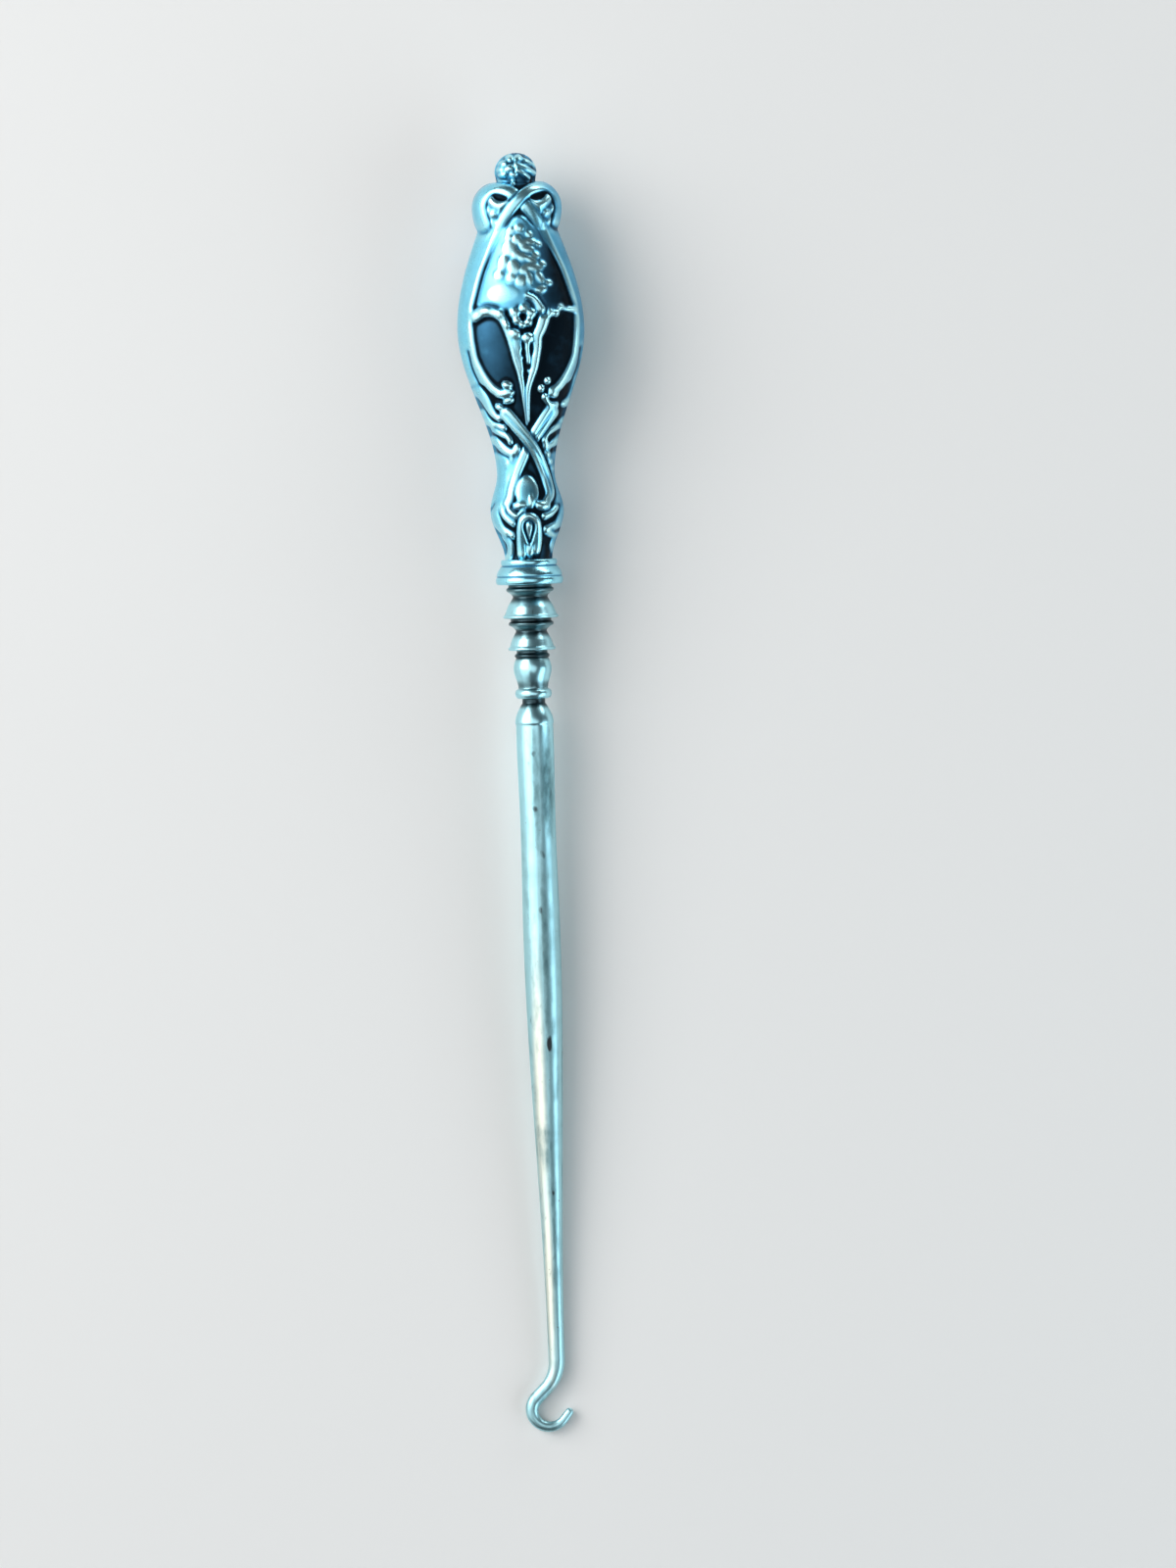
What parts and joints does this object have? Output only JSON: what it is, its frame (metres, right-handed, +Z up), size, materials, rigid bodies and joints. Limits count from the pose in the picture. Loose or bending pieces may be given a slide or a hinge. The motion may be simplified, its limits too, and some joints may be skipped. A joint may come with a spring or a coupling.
{
  "type": "button hook",
  "caption": "Button hook lying flat: baluster handle of stamped silver halves with scrolling strapwork, turned ferrule, and a steel tool with bolster, tapering shank and curled hook.",
  "frame": {"origin": "middle of the footprint on the table, at table height, with the tool lying on its back", "axes": "+Y along the tool towards the finial, +X to the right seen from above, +Z up from the table through the front of the handle"},
  "size_m": [0.0194, 0.1958, 0.0155],
  "materials": {
    "stamped_silver": "polished on the relief, dark tarnish in the recesses",
    "turned_silver": "polished, lightly tarnished",
    "hard_solder": "dull",
    "pitch": "matt, brittle",
    "worn_steel": "worn polish with grey patches and small rust spots"
  },
  "bodies": {
    "root": {"handle_front_shell": "stamped_silver", "handle_back_shell": "stamped_silver", "seam_solder": "hard_solder", "handle_filler": "pitch", "mouth_ferrule": "turned_silver", "steel_shank": "worn_steel", "hook_end": "worn_steel"}
  },
  "joints": []
}
